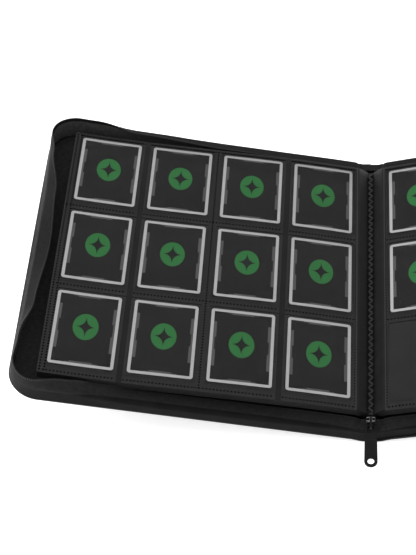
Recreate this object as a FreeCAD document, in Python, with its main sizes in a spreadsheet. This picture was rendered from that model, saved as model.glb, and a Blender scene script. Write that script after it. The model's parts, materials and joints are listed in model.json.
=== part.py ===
import FreeCAD, Part
import Sketcher
import math
import os

# Zip album for cards, lying open on its spine in a shallow V. Millimetres.
# X runs across the open album, Y along the spine, Z up from the spine's underside.
# Each side is built in a flat frame of its own (X away from the spine, Z up) and
# then turned up to the angle at which the open album lies.

os.makedirs("parts", exist_ok=True)
doc = FreeCAD.newDocument("zip_album")
sheet = doc.addObject("Spreadsheet::Sheet", "sizes")

SIZES = [
    # covers
    ("album_height", 350.0),
    ("cover_width", 335.6),
    ("cover_corner", 30.0),
    ("cover_angle", 11.8),
    ("skin_thick", 1.0),
    ("board_thick", 2.0),
    ("lining_thick", 0.6),
    ("board_inset", 3.0),
    ("nose_inset", 2.4),
    # soft wall, zip tape, coil and piping round three sides of each cover
    ("wall_rise", 14.2),
    ("wall_thick", 1.6),
    ("wall_start", 20.0),
    ("tape_width", 12.0),
    ("tape_thick", 0.8),
    ("coil_size", 2.4),
    ("coil_round", 0.7),
    ("piping_size", 2.2),
    ("piping_round", 0.8),
    # spine
    ("hinge_across", 17.0),
    ("hinge_level", 5.1),
    ("hinge_gap", 0.3),
    ("spine_flat", 20.0),
    ("wing_angle", 25.0),
    ("spine_inset", 1.0),
    ("end_width", 28.4),
    ("end_level", 17.4),
    ("nose_clear", 2.0),
    ("flap_depth", 12.0),
    # binding
    ("binding_width", 3.2),
    ("binding_level", 20.6),
    ("thread_width", 2.6),
    ("thread_thick", 1.0),
    ("thread_inset", 1.0),
    # leaves
    ("leaf_height", 318.7),
    ("leaf_width", 308.9),
    ("leaf_angle", 11.37),
    ("leaf_across", 12.6),
    ("leaf_level", 29.7),
    ("leaf_pitch", 2.14),
    ("leaf_thick", 1.2),
    ("margin_angle", 38.0),
    ("margin_run", 10.0),
    ("margin_floor", 18.6),
    ("margin_thick", 0.5),
    ("sheet_thick", 0.4),
    ("film_thick", 0.2),
    ("back_thick", 0.25),
    # pockets, sleeves and cards
    ("card_width", 63.5),
    ("card_height", 88.9),
    ("card_thick", 0.3),
    ("card_round", 3.0),
    ("card_play", 0.04),
    ("card_slack", 1.0),
    ("sleeve_extra", 2.5),
    ("sleeve_thick", 0.15),
    ("sleeve_seam", 0.2),
    ("sleeve_rest", 0.05),
    ("pocket_width", 71.0),
    ("pocket_height", 97.0),
    ("pocket_clear", 1.0),
    ("pocket_weld", 2.0),
    ("column_first", 38.9),
    ("column_pitch", 76.6),
    ("row_pitch", 105.26),
    ("row_middle", 2.66),
    # zip slider and pull
    ("plate_width", 9.0),
    ("plate_length", 10.5),
    ("plate_thick", 1.0),
    ("plate_apart", 2.7),
    ("slider_back", -163.7),
    ("slider_base", 13.5),
    ("neck_width", 3.0),
    ("bridge_width", 2.6),
    ("bridge_length", 6.4),
    ("bridge_reach", 4.4),
    ("notch_clear", 0.4),
    ("pull_level", 19.0),
    ("pull_axis", 1.8),
    ("pin_radius", 0.9),
    ("pin_clear", 0.25),
    ("pull_length", 47.0),
    ("pull_width", 11.6),
    ("pull_tail_width", 12.8),
    ("pull_thick", 2.0),
    ("loop_width", 7.2),
    ("loop_length", 9.0),
    ("hole_radius", 3.2),
    ("stop_size", 3.4),
    ("stop_clear", 0.3),
    # how far a cutting block runs on past what it cuts
    ("cut_past", 1.0),
]

for row, (name, value) in enumerate(SIZES, start=1):
    sheet.set("A%d" % row, name)
    sheet.set("B%d" % row, "%g" % value)
    sheet.setAlias("B%d" % row, name)
doc.recompute()

parts = []
# lengths below this are taken as nothing when edges are picked
TINY = 0.001
SIDES = (("left", -1), ("right", 1))
ROWS = (1, 0, -1)
COLUMNS = (0, 1, 2, 3)
LOWER_LEAVES = (1, 2, 3, 4)
EMPTY_POCKET = ("right", -1, 0)


def size(name):
    return float(sheet.get(name))


def bind(thing, **formulas):
    """Set the properties of an object from formulas on the sheet's cells."""
    for key, formula in formulas.items():
        words = formula.replace("(", " ( ").replace(")", " ) ").split()
        known = [name for name, value in SIZES]
        text = " ".join("sizes." + w if w in known else w for w in words)
        for function in ("cos", "sin", "min"):
            text = text.replace(function + " (", function + "(")
        thing.setExpression(key.replace("__", "."), text)


def keep(thing, label, placement=None):
    """Name a finished sub-part and put it in its place."""
    thing.Label = label
    if placement is not None:
        thing.Placement = placement
    parts.append(thing)
    return thing


def loose_box(name, length, width, height):
    """A plain block at the origin, for one that is placed afterwards."""
    made = doc.addObject("Part::Box", name)
    bind(made, Length=length, Width=width, Height=height)
    return made


def box(name, x, y, z, length, width, height):
    """A plain block: its low corner and its three sizes, all as formulas."""
    made = loose_box(name, length, width, height)
    bind(made, Placement__Base__x=x, Placement__Base__y=y, Placement__Base__z=z)
    return made


def fuse(name, shapes):
    made = doc.addObject("Part::MultiFuse", name)
    made.Shapes = shapes
    return made


def cut(name, base, tool):
    made = doc.addObject("Part::Cut", name)
    made.Base = base
    made.Tool = tool
    return made


def upright_edges(feature, across):
    """Names of the edges along Z that stand at a given X."""
    found = []
    for number, edge in enumerate(feature.Shape.Edges, start=1):
        ends = edge.Vertexes
        if len(ends) != 2:
            continue
        run = ends[1].Point - ends[0].Point
        if math.hypot(run.x, run.y) < TINY and abs(ends[0].X - across) < TINY:
            found.append("Edge%d" % number)
    return found


def side_place(sign, across, level, angle):
    """From a side's flat frame to its place: turned to its side, tilted up, moved."""
    tilt = FreeCAD.Rotation(FreeCAD.Vector(0, 1, 0), -sign * angle)
    if sign < 0:
        tilt = tilt.multiply(FreeCAD.Rotation(FreeCAD.Vector(0, 0, 1), 180))
    return FreeCAD.Placement(FreeCAD.Vector(sign * across, 0, level), tilt)


def cover_place(sign):
    return side_place(sign, size("hinge_across"), size("hinge_level"), size("cover_angle"))


def leaf_place(sign):
    return side_place(sign, size("leaf_across"), size("leaf_level"), size("leaf_angle"))


def body_block(body, kind, name, x, y, z, length, width, height):
    made = body.newObject(kind, name)
    bind(made, Length=length, Width=width, Height=height)
    bind(made, Placement__Base__x=x, Placement__Base__y=y, Placement__Base__z=z)
    doc.recompute()
    return made


def size_of(formula):
    """The number that a formula of one name or one number stands for."""
    return float(formula) if formula.replace(".", "").isdigit() else size(formula)


def rounded_slab(label, start, outset, base, thick):
    """A slab over a cover, its two outer corners rounded.

    start is where it begins beside the spine, and outset how far it stands outside the
    cover's edge (negative: inside).
    """
    body = doc.addObject("PartDesign::Body", label + "_body")
    slab = body_block(
        body, "PartDesign::AdditiveBox", label + "_slab",
        start, "0 - album_height / 2 - ( %s )" % outset, base,
        "cover_width + ( %s ) - ( %s )" % (outset, start),
        "album_height + 2 * ( %s )" % outset, thick,
    )
    made = body.newObject("PartDesign::Fillet", label + "_corners")
    made.Base = (slab, upright_edges(slab, slab.Shape.BoundBox.XMax))
    bind(made, Radius="cover_corner + ( %s )" % outset)
    body.Tip = made
    doc.recompute()
    return body


def ring(label, outset, width, base, thick, rounding=None):
    """A band round the three free sides of a cover, open towards the spine."""
    outer = rounded_slab(label + "_outer", "wall_start", outset, base, thick)
    inner = rounded_slab(
        label + "_inner", "wall_start - 5 * cut_past", "%s - %s" % (outset, width),
        "%s - cut_past" % base, "%s + 2 * cut_past" % thick,
    )
    band = cut(label + "_band", outer, inner)
    doc.recompute()
    if rounding is None:
        return band
    soft = doc.addObject("Part::Fillet", label + "_soft")
    soft.Base = band
    radius = size(rounding)
    beyond = size("wall_start") + size("cut_past")
    soft.Edges = [
        (number, radius, radius)
        for number, edge in enumerate(band.Shape.Edges, start=1)
        if edge.BoundBox.ZLength < TINY and edge.BoundBox.XMax > beyond
    ]
    return soft


# --- covers ---------------------------------------------------------------
# Skin, board and lining lie on each other; level 0 is half way through the cover, where
# the skin's rounded nose turns about the hinge line beside the spine.

COVER = "( skin_thick + board_thick + lining_thick )"
OUTER = "( slider_back - 2 * plate_thick - plate_apart )"


def cover_skin(side, sign):
    layer = rounded_slab(side + "_skin", "nose_inset", "0", "0 - %s / 2" % COVER, "skin_thick")
    nose = doc.addObject("Part::Cylinder", side + "_nose")
    bind(nose, Radius="%s / 2" % COVER, Height="album_height")
    nose.Placement.Rotation = FreeCAD.Rotation(FreeCAD.Vector(1, 0, 0), -90)
    bind(nose, Placement__Base__y="0 - album_height / 2")
    link = box(
        side + "_nose_root", "0", "0 - album_height / 2", "0 - %s / 2" % COVER,
        "nose_inset", "album_height", "skin_thick",
    )
    keep(fuse(side + "_cover_skin", [layer, nose, link]), side + "_cover_skin", cover_place(sign))


def cover_board(side, sign):
    layer = rounded_slab(
        side + "_board", "nose_inset", "0 - board_inset", "skin_thick - %s / 2" % COVER, "board_thick"
    )
    keep(layer, side + "_cover_board", cover_place(sign))


def cover_lining(side, sign):
    layer = rounded_slab(
        side + "_lining", "nose_inset", "0 - board_inset",
        "skin_thick + board_thick - %s / 2" % COVER, "lining_thick",
    )
    keep(layer, side + "_cover_lining", cover_place(sign))


def cover_wall(side, sign):
    base = "skin_thick - %s / 2" % COVER
    rise = "wall_rise - skin_thick + %s / 2" % COVER
    keep(ring(side + "_wall", "0", "wall_thick", base, rise), side + "_gusset", cover_place(sign))
    tape = ring(side + "_tape", "0", "tape_width", "wall_rise", "tape_thick")
    keep(tape, side + "_zip_tape", cover_place(sign))
    coil = ring(
        side + "_coil", "0 - tape_width", "coil_size",
        "wall_rise + tape_thick / 2 - coil_size / 2", "coil_size", "coil_round",
    )
    keep(coil, side + "_zip_coil", cover_place(sign))
    piping = ring(
        side + "_cord", "piping_size", "piping_size",
        "0 - %s / 2" % COVER, "piping_size", "piping_round",
    )
    keep(piping, side + "_piping", cover_place(sign))


for side, sign in SIDES:
    cover_skin(side, sign)
    cover_board(side, sign)
    cover_lining(side, sign)
    cover_wall(side, sign)


# --- spine ------------------------------------------------------------------
# A flat strip to stand on, with a narrow wing on each side that rises to the hinge line
# and stops a small gap short of the cover's rounded nose.


def spine_layer(label, inset, base, thick):
    """A layer of the spine: its flat middle and the two wings that carry on from it."""
    middle = box(
        label + "_middle", "0 - spine_flat / 2", "%s - album_height / 2" % inset, base,
        "spine_flat", "album_height - 2 * %s" % inset, thick,
    )
    reach = "( hinge_across - spine_flat / 2 ) * cos( wing_angle ) + hinge_level * sin( wing_angle )"
    level = middle_level(base)
    shift = level * math.tan(math.radians(size("wing_angle")) / 2)
    wings = []
    for side, sign in SIDES:
        wing = loose_box(
            "%s_%s" % (label, side), "%s - %s / 2 - hinge_gap" % (reach, COVER),
            "album_height - 2 * %s" % inset, thick,
        )
        start = side_place(sign, size("spine_flat") / 2 - shift, level, size("wing_angle"))
        half_way = FreeCAD.Vector(0, size_of(inset) - size("album_height") / 2, 0)
        wing.Placement = start.multiply(FreeCAD.Placement(half_way, FreeCAD.Rotation()))
        wings.append(wing)
    return fuse(label, [middle] + wings)


def middle_level(base):
    """Level of the underside of a spine layer, named by what lies beneath it."""
    total = 0.0
    for word in base.split(" + "):
        total += size_of(word)
    return total


keep(spine_layer("spine_skin", "0", "0", "skin_thick"), "spine_skin")
keep(
    box(
        "spine_board", "spine_inset - spine_flat / 2", "board_inset - album_height / 2", "skin_thick",
        "spine_flat - 2 * spine_inset", "album_height - 2 * board_inset", "board_thick",
    ),
    "spine_board",
)
keep(
    box(
        "spine_lining", "spine_inset - spine_flat / 2", "board_inset - album_height / 2",
        "skin_thick + board_thick",
        "spine_flat - 2 * spine_inset", "album_height - 2 * board_inset", "lining_thick",
    ),
    "spine_lining",
)


def spine_end(name, sign):
    """Boxed end of the spine: an upright wall on the skin and a flap folded inwards."""
    outer = "0 - album_height / 2" if sign < 0 else "album_height / 2 - wall_thick"
    flap = "0 - album_height / 2" if sign < 0 else "album_height / 2 - flap_depth"
    wall = box(
        name + "_wall", "spine_inset - spine_flat / 2", outer, "skin_thick",
        "spine_flat - 2 * spine_inset", "wall_thick", "end_level - tape_thick - skin_thick",
    )
    wide = box(
        name + "_wide", "0 - end_width / 2", outer, "hinge_level + nose_clear",
        "end_width", "wall_thick", "end_level - tape_thick - hinge_level - nose_clear",
    )
    fold = box(
        name + "_fold", "0 - end_width / 2", flap, "end_level - tape_thick",
        "end_width", "flap_depth", "tape_thick",
    )
    shape = fuse(name + "_cloth", [wall, wide, fold])
    if sign > 0:
        return shape
    notch = box(
        name + "_notch", "0 - plate_width / 2 - notch_clear",
        "%s - bridge_reach - notch_clear" % OUTER, "end_level - 2 * tape_thick",
        "plate_width + 2 * notch_clear", "flap_depth", "3 * tape_thick",
    )
    return cut(name + "_notched", shape, notch)


keep(spine_end("near_end", -1), "spine_end_near")
keep(spine_end("far_end", 1), "spine_end_far")


# --- binding ----------------------------------------------------------------
# The leaves' margins are sewn to an upright binding strip; the thread runs on its top.

keep(
    box(
        "binding", "0 - binding_width / 2", "0 - leaf_height / 2",
        "skin_thick + board_thick + lining_thick",
        "binding_width", "leaf_height",
        "binding_level - skin_thick - board_thick - lining_thick",
    ),
    "binding_strip",
)
keep(
    box(
        "thread", "0 - thread_width / 2", "thread_inset - leaf_height / 2", "binding_level",
        "thread_width", "leaf_height - 2 * thread_inset", "thread_thick",
    ),
    "binding_thread",
)


# --- leaves -----------------------------------------------------------------
# Level 0 of a leaf's frame is the face of its front pockets; X starts at the weld line.


def margin_box(name, thick, level, gap):
    """The margin from the weld line down to the binding strip, or to the floor."""
    full = "margin_run / cos( margin_angle )"
    room = "( %s - margin_floor ) / sin( margin_angle )" % level
    made = loose_box(name, "min( %s ; %s ) - %s" % (full, room, gap), "leaf_height", thick)
    doc.recompute()
    return made


def margin_place(sign, across, level, run):
    """Place a margin strip so that its top edge meets the leaf's top inner edge."""
    turn = math.radians(size("margin_angle"))
    start = FreeCAD.Vector(
        sign * (across - run * math.cos(turn)), 0, level - run * math.sin(turn)
    )
    place = side_place(sign, 0, 0, size("margin_angle"))
    place.Base = start
    return place


def in_frame(place, frame):
    """A placement in the row's frame, rewritten in a side's flat frame."""
    return frame.inverse().multiply(place)


def hang(margin, thick, place):
    """Hang a margin strip below its top edge, half way along the spine."""
    drop = FreeCAD.Vector(0, -size("leaf_height") / 2, -size(thick))
    margin.Placement = place.multiply(FreeCAD.Placement(drop, FreeCAD.Rotation()))


def lower_leaf(side, sign, number):
    drop = "leaf_pitch * %d" % number
    name = "%s_leaf_%d" % (side, number + 1)
    panel = box(
        name + "_panel", "0", "0 - leaf_height / 2", "0 - %s - leaf_thick" % drop,
        "leaf_width", "leaf_height", "leaf_thick",
    )
    edge = "leaf_level - %s * cos( leaf_angle )" % drop
    margin = margin_box(name + "_margin", "leaf_thick", "( %s )" % edge, "0")
    depth = size("leaf_pitch") * number
    lean = math.radians(size("leaf_angle"))
    across = size("leaf_across") + depth * math.sin(lean)
    level = size("leaf_level") - depth * math.cos(lean)
    hang(margin, "leaf_thick", margin_place(sign, across, level, margin.Length.Value))
    margin.Placement = in_frame(margin.Placement, leaf_place(sign))
    keep(fuse(name, [panel, margin]), name, leaf_place(sign))


def top_margin(side, sign):
    name = side + "_top_margin"
    margin = margin_box(name, "margin_thick", "leaf_level", "hinge_gap")
    turn = math.radians(size("margin_angle"))
    across = size("leaf_across") - size("hinge_gap") * math.cos(turn)
    level = size("leaf_level") - size("hinge_gap") * math.sin(turn)
    hang(margin, "margin_thick", margin_place(sign, across, level, margin.Length.Value))
    keep(margin, name)


def pocket_grid(side, sign):
    """Middle of every pocket: its column from the spine and its row along the spine."""
    for row in ROWS:
        for column in COLUMNS:
            x = "( column_first + column_pitch * %d )" % column
            y = "( %d * ( row_middle + row_pitch * ( %d ) ) )" % (sign, row)
            yield "%s_%d_%d" % (side, 2 - row, column + 1), x, y, (side, row, column)


def slab_at(name, x, y, z, length, width, height):
    """A block centred on x and y, with its underside at z."""
    return box(
        name, "%s - ( %s ) / 2" % (x, length), "%s - ( %s ) / 2" % (y, width), z,
        length, width, height,
    )


def group(label, sign, members):
    made = doc.addObject("Part::Compound", label)
    made.Links = members
    keep(made, label, leaf_place(sign))


POCKET = "( film_thick + pocket_clear )"


def top_leaf(side, sign):
    base = "0 - %s - sheet_thick" % POCKET
    black = box(
        side + "_top_sheet", "0", "0 - leaf_height / 2", base,
        "leaf_width", "leaf_height", "sheet_thick",
    )
    group(side + "_top_leaf", sign, [black])
    films = []
    sleeves = []
    cards = []
    for name, x, y, key in pocket_grid(side, sign):
        outer = slab_at(
            "film_" + name, x, y, "0 - %s" % POCKET, "pocket_width", "pocket_height", POCKET
        )
        # the mouth is on the side where two columns face each other across an open strip
        toward = 1 if key[2] in (0, 2) else -1
        inner = slab_at(
            "mouth_" + name, "%s + %d * pocket_weld" % (x, toward), y, "0 - %s - cut_past" % POCKET,
            "pocket_width", "pocket_height - 2 * pocket_weld", "pocket_clear + cut_past",
        )
        films.append(cut("pocket_" + name, outer, inner))
        films.append(
            slab_at(
                "back_" + name, x, y, "0 - %s - sheet_thick - back_thick" % POCKET,
                "pocket_width", "pocket_height", "back_thick",
            )
        )
        if key == EMPTY_POCKET:
            continue
        floor = "0 - %s + sleeve_rest" % POCKET
        case = slab_at(
            "case_" + name, x, y, floor,
            "card_width + sleeve_extra", "card_height + sleeve_extra",
            "card_thick + 2 * sleeve_thick + card_play",
        )
        room = slab_at(
            "room_" + name, x, "%s + %d * cut_past" % (y, sign), floor + " + sleeve_thick",
            "card_width + card_slack", "card_height + sleeve_extra - 2 * sleeve_seam",
            "card_thick + card_play",
        )
        sleeves.append(cut("sleeve_" + name, case, room))
        cards.append(rounded_card("card_" + name, x, y, floor + " + sleeve_thick + card_play / 2"))
    group(side + "_pocket_films", sign, films)
    group(side + "_sleeves", sign, sleeves)
    group(side + "_cards", sign, cards)


def rounded_card(name, x, y, z):
    card = slab_at(name + "_blank", x, y, z, "card_width", "card_height", "card_thick")
    doc.recompute()
    made = doc.addObject("Part::Fillet", name)
    made.Base = card
    corners = []
    for number, edge in enumerate(card.Shape.Edges, start=1):
        run = edge.Vertexes[1].Point - edge.Vertexes[0].Point
        if math.hypot(run.x, run.y) < TINY:
            corners.append((number, size("card_round"), size("card_round")))
    made.Edges = corners
    return made


for side, sign in SIDES:
    for number in LOWER_LEAVES:
        lower_leaf(side, sign, number)
    top_margin(side, sign)
    top_leaf(side, sign)


# --- zip slider, bridge, pull and stops --------------------------------------
# The slider stands at the near end of the spine, nose up; its plates face along Y.

def slider_body():
    inner = box(
        "inner_plate", "0 - plate_width / 2", "slider_back - plate_thick", "slider_base",
        "plate_width", "plate_thick", "plate_length",
    )
    outer = box(
        "outer_plate", "0 - plate_width / 2", OUTER, "slider_base",
        "plate_width", "plate_thick", "plate_length",
    )
    neck = box(
        "neck", "0 - neck_width / 2", OUTER, "slider_base + plate_length - neck_width",
        "neck_width", "2 * plate_thick + plate_apart", "neck_width",
    )
    keep(fuse("slider", [inner, outer, neck]), "zip_slider")


def slider_bridge():
    arch = box(
        "arch", "0 - bridge_width / 2", OUTER + " - bridge_reach", "pull_level - bridge_length / 2",
        "bridge_width", "bridge_reach", "bridge_length",
    )
    eye = box(
        "eye", "0 - bridge_width", OUTER + " - pull_axis - pin_radius - pin_clear",
        "pull_level - pin_radius - pin_clear",
        "2 * bridge_width", "pull_axis + pin_radius + pin_clear", "2 * ( pin_radius + pin_clear )",
    )
    keep(cut("bridge", arch, eye), "slider_bridge")


def pull_frame():
    y = size("slider_back") - 2 * size("plate_thick") - size("plate_apart") - size("pull_axis")
    return FreeCAD.Placement(FreeCAD.Vector(0, y, size("pull_level")), FreeCAD.Rotation())


def zip_pull():
    """A flat tab with a rounded tail and hole, and a loop whose round bar is the pivot."""
    body = doc.addObject("PartDesign::Body", "pull_body")
    sketch = body.newObject("Sketcher::SketchObject", "pull_outline")
    plane = [f for f in body.Origin.OriginFeatures if f.Role == "XY_Plane"][0]
    sketch.AttachmentSupport = (plane, [""])
    sketch.MapMode = "FlatFace"
    half = size("pull_width") / 2
    tail = size("pull_tail_width") / 2
    round_level = tail - size("pull_length")
    points = [
        FreeCAD.Vector(-half, size("pin_radius"), 0),
        FreeCAD.Vector(half, size("pin_radius"), 0),
        FreeCAD.Vector(tail, round_level, 0),
        FreeCAD.Vector(-tail, round_level, 0),
    ]
    top = sketch.addGeometry(Part.LineSegment(points[0], points[1]))
    right = sketch.addGeometry(Part.LineSegment(points[1], points[2]))
    lowest = FreeCAD.Vector(0, -size("pull_length"), 0)
    # an arc in a sketch runs counter-clockwise: from its left end to its right one
    tail_arc = sketch.addGeometry(Part.Arc(points[3], lowest, points[2]))
    left = sketch.addGeometry(Part.LineSegment(points[3], points[0]))
    start, end, centre = 1, 2, 3
    origin, upright = -1, -2
    for first, second in (
        ((top, end), (right, start)), ((right, end), (tail_arc, end)),
        ((tail_arc, start), (left, start)), ((left, end), (top, start)),
    ):
        sketch.addConstraint(Sketcher.Constraint("Coincident", *first, *second))
    for line in (top, tail_arc):
        sketch.addConstraint(Sketcher.Constraint("Symmetric", line, start, line, end, upright))
    sketch.addConstraint(Sketcher.Constraint("Horizontal", tail_arc, centre, tail_arc, start))
    for name, kind, ends, value, formula in (
        ("width", "DistanceX", (top, start, top, end), 2 * half, "pull_width"),
        ("round", "Radius", (tail_arc,), tail, "pull_tail_width / 2"),
        ("rise", "DistanceY", (origin, start, top, start), points[0].y, "pin_radius"),
        (
            "reach", "DistanceY", (tail_arc, centre, origin, start), -round_level,
            "pull_length - pull_tail_width / 2",
        ),
    ):
        number = sketch.addConstraint(Sketcher.Constraint(kind, *ends, value))
        sketch.renameConstraint(number, name)
        bind(sketch, **{"Constraints__" + name: formula})
    if sketch.solve() != 0:
        raise ValueError("the pull's outline does not solve")
    pad = body.newObject("PartDesign::Pad", "pull_pad")
    pad.Profile = sketch
    bind(pad, Length="pull_thick")
    pad.Midplane = True
    body.Tip = pad
    doc.recompute()
    window = body_block(
        body, "PartDesign::SubtractiveBox", "pull_window",
        "0 - loop_width / 2", "0 - pin_radius - loop_length", "0 - pull_thick",
        "loop_width", "loop_length", "2 * pull_thick",
    )
    hole = body.newObject("PartDesign::SubtractiveCylinder", "pull_hole")
    bind(hole, Radius="hole_radius", Height="2 * pull_thick")
    bind(hole, Placement__Base__y="pull_tail_width / 2 - pull_length", Placement__Base__z="0 - pull_thick")
    body.Tip = hole
    doc.recompute()
    if not hole.Shape.Volume < window.Shape.Volume < pad.Shape.Volume:
        raise ValueError("the pull's window or hole cuts nothing")
    # the loop's top bar is turned down to a round pin where it passes the bridge
    waist = box(
        "waist", "0 - loop_width / 2", "0 - pin_radius - cut_past / 2", "0 - pull_thick",
        "loop_width", "2 * pin_radius + cut_past", "2 * pull_thick",
    )
    pin = doc.addObject("Part::Cylinder", "pull_pin")
    bind(pin, Radius="pin_radius", Height="loop_width + cut_past")
    pin.Placement.Rotation = FreeCAD.Rotation(FreeCAD.Vector(0, 1, 0), 90)
    bind(pin, Placement__Base__x="0 - loop_width / 2 - cut_past / 2")
    keep(fuse("pull", [cut("pull_cut", body, waist), pin]), "zip_pull", pull_frame())


slider_body()
slider_bridge()
zip_pull()

for label, y, level in (
    (
        "zip_stop_near", "slider_back - plate_thick - plate_apart / 2 - stop_size / 4",
        "slider_base - stop_size - stop_clear",
    ),
    ("zip_stop_far", "album_height / 2 - flap_depth", "end_level"),
):
    stop = box(
        label + "_block", "0 - stop_size / 2", y, level, "stop_size", "stop_size / 2", "stop_size"
    )
    keep(stop, label)

# --- write ---------------------------------------------------------------------
doc.recompute()
for thing in doc.Objects:
    if "Invalid" in thing.State or "Error" in thing.State:
        raise ValueError("failed: " + thing.Name)
for thing in parts:
    shape = thing.Shape
    if shape.isNull() or not shape.isValid() or not shape.Solids:
        raise ValueError("bad shape: " + thing.Label)
for thing in parts:
    thing.Shape.exportStep("parts/%s.step" % thing.Label)
print(len(parts), "sub-parts written")
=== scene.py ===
import json
import math

import bmesh
import bpy
from mathutils import Matrix, Vector


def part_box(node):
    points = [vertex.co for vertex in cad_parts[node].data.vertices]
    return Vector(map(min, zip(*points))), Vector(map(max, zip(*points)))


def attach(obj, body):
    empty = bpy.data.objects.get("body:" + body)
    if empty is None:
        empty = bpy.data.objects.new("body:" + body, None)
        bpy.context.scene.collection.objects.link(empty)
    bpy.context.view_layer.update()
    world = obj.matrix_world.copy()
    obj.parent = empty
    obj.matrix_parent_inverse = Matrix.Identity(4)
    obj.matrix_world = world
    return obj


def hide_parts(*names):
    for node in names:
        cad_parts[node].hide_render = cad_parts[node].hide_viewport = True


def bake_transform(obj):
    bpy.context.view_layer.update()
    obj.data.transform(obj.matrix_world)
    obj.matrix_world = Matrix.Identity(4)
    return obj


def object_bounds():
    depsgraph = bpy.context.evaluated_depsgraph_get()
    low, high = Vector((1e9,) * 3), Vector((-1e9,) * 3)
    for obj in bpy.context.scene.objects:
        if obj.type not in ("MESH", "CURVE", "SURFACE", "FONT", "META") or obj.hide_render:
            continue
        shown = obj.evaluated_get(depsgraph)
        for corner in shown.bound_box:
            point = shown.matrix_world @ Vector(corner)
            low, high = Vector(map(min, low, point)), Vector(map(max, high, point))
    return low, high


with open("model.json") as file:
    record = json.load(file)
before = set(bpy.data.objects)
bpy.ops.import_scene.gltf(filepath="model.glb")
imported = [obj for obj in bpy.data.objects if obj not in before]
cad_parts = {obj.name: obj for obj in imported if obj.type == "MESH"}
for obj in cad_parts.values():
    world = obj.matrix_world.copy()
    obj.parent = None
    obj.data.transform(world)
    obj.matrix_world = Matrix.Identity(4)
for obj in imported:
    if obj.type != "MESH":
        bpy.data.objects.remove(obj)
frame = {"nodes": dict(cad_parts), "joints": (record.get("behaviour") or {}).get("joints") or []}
cad_low, cad_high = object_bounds()
SIDES = (("left", -1), ("right", 1))

# --- Camera and studio --------------------------------------------------------
# The album lies open on a pale sweep of card under a big soft lamp on its left, with a
# bright room all round, so that black film and leather show only by their gloss.

bpy.context.scene.view_settings.view_transform = "Standard"
camera_data = bpy.data.cameras.new("camera")
camera_data.lens = 99.27
camera_data.sensor_width = 36.0
camera_data.clip_start = 0.05
camera = bpy.data.objects.new("camera", camera_data)
bpy.context.scene.collection.objects.link(camera)
camera.matrix_world = (
    Matrix.Translation((0.0008, -0.9973, 1.2470))
    @ Matrix.Rotation(math.radians(9.544), 4, "Z")
    @ Matrix.Rotation(math.radians(90 - 50.147), 4, "X")
    @ Matrix.Rotation(math.radians(-7.421), 4, "Z")
)
bpy.context.scene.camera = camera


def soft_lamp(name, place, aim, width, power):
    """A square soft box at a place, facing a point."""
    data = bpy.data.lights.new(name, "AREA")
    data.shape = "SQUARE"
    data.size = width
    data.energy = power
    lamp = bpy.data.objects.new(name, data)
    bpy.context.scene.collection.objects.link(lamp)
    turn = (Vector(aim) - Vector(place)).to_track_quat("-Z", "Y")
    lamp.matrix_world = Matrix.Translation(place) @ turn.to_matrix().to_4x4()
    lamp.visible_glossy = False


soft_lamp("key_lamp", (-1.9, 0.2, 2.0), (0, 0, 0.05), 2.2, 48)
soft_lamp("fill_lamp", (1.3, -1.4, 1.9), (0, 0, 0.05), 1.6, 6)
room = bpy.data.worlds.new("bright_room")
room.use_nodes = True
room.node_tree.nodes["Background"].inputs["Color"].default_value = (1, 1, 1, 1)
room.node_tree.nodes["Background"].inputs["Strength"].default_value = 0.9
bpy.context.scene.world = room

# --- Covers -------------------------------------------------------------------
# Two stiff boards wrapped in black grained leatherette, turned over their edges. The
# wrap runs on past the boards as a thin hinge strip that bends up from the spine.

COVER_TILT = math.radians(11.8)
WING_TILT = math.radians(24.4)
COVER_HALF = 0.0018
COVER_LONG = 0.3356
COVER_CORNER = 0.030
BOARD_STACK = 0.0030
HINGE_SKIN = 0.0010
HINGE = Vector(next(j["pos_m"] for j in frame["joints"] if j["name"] == "right_cover_hinge"))
HALF_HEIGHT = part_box("right_cover_skin")[1].y
SPINE_HALF = 0.010
WRAP_START = -0.00808
WRAP_RIM = 0.0009
BOARD_START = 0.001
BOARD_EASE = 0.0045
PATH_EASE = 0.0015
PROBE = 0.0004
TINY = 1e-7
# where a piece is cut across so that it can bend: runs from the hinge, places up the spine
BEND_SPAN = (0.02, 0.30)
HALF_CUTS = 0.16


def add_node(tree, kind, inputs=None, **settings):
    """A shader node with its settings, its inputs given as values or as sockets to join."""
    made = tree.nodes.new("ShaderNode" + kind)
    for key, value in settings.items():
        setattr(made, key, value)
    for key, value in (inputs or {}).items():
        if isinstance(value, bpy.types.NodeSocket):
            tree.links.new(value, made.inputs[key])
        else:
            made.inputs[key].default_value = value
    return made


def grey(level):
    return (level, level, level)


def new_finish(name, roughness=0.5, **sockets):
    """A material with one Principled shader. Gives the material, its tree and shader."""
    made = bpy.data.materials.new(name)
    made.use_nodes = True
    tree = made.node_tree
    shader = tree.nodes["Principled BSDF"]
    shader.inputs["Roughness"].default_value = roughness
    for key, value in sockets.items():
        shader.inputs[key.replace("_", " ")].default_value = value
    return made, tree, shader


def object_place(tree):
    """Object coordinates, which stay with the piece as it moves."""
    return add_node(tree, "TexCoord").outputs["Object"]


def set_ramp(ramp, low, high):
    """Give a two-stop colour ramp its stops, each a position and a colour."""
    for stop, (share, shade) in zip(ramp.color_ramp.elements, (low, high)):
        stop.position = share
        stop.color = (*shade, 1)


def mottle(tree, shader, place, dark, light, scale):
    """Base colour that drifts between two near shades."""
    noise = add_node(tree, "TexNoise", {"Vector": place, "Scale": scale, "Detail": 4.0})
    ramp = add_node(tree, "ValToRGB", {"Fac": noise.outputs["Fac"]})
    set_ramp(ramp, (0.32, dark), (0.68, light))
    tree.links.new(ramp.outputs["Color"], shader.inputs["Base Color"])
    return ramp.outputs["Color"]


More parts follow.
